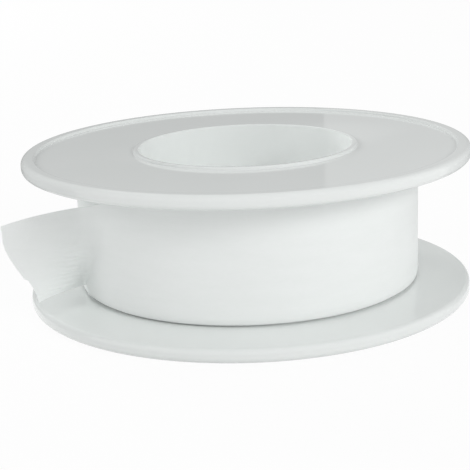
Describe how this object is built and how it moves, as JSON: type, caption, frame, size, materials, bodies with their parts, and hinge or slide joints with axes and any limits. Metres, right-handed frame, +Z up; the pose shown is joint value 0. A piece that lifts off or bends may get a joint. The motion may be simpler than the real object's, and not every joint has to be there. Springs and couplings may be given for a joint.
{
  "type": "thread seal tape roll",
  "caption": "Flanged plastic spool with a smooth bore and a winding of white sealing tape, whose torn free end stands off the roll.",
  "frame": {"origin": "on the spool's axis, at the lower mouth of the bore, in the plane that the roll stands on", "axes": "+Z up along the spool's axis; the camera of the picture looks along +Y, and the tape's free end points to -X"},
  "size_m": [0.0479, 0.047, 0.0158],
  "materials": {
    "spool_plastic": "moulded white, glossy",
    "tape_film": "soft white film, waxy"
  },
  "bodies": {
    "spool": {"lower_spool_half": "spool_plastic", "upper_spool_half": "spool_plastic", "wound_tape": "tape_film"},
    "outer_turn": {"outer_turn": "tape_film"},
    "tape_end": {"tape_end": "tape_film"}
  },
  "joints": [
    {"name": "unwind", "type": "hinge", "parent": "spool", "child": "outer_turn", "pos_m": [0, 0, 0.0079], "axis": [0, 0, 1], "continuous": true},
    {"name": "tail_bend", "type": "hinge", "parent": "outer_turn", "child": "tape_end", "pos_m": [-0.0158, -0.00912, 0.0079], "axis": [0, 0, 1], "range_deg": [-65, 95]}
  ]
}
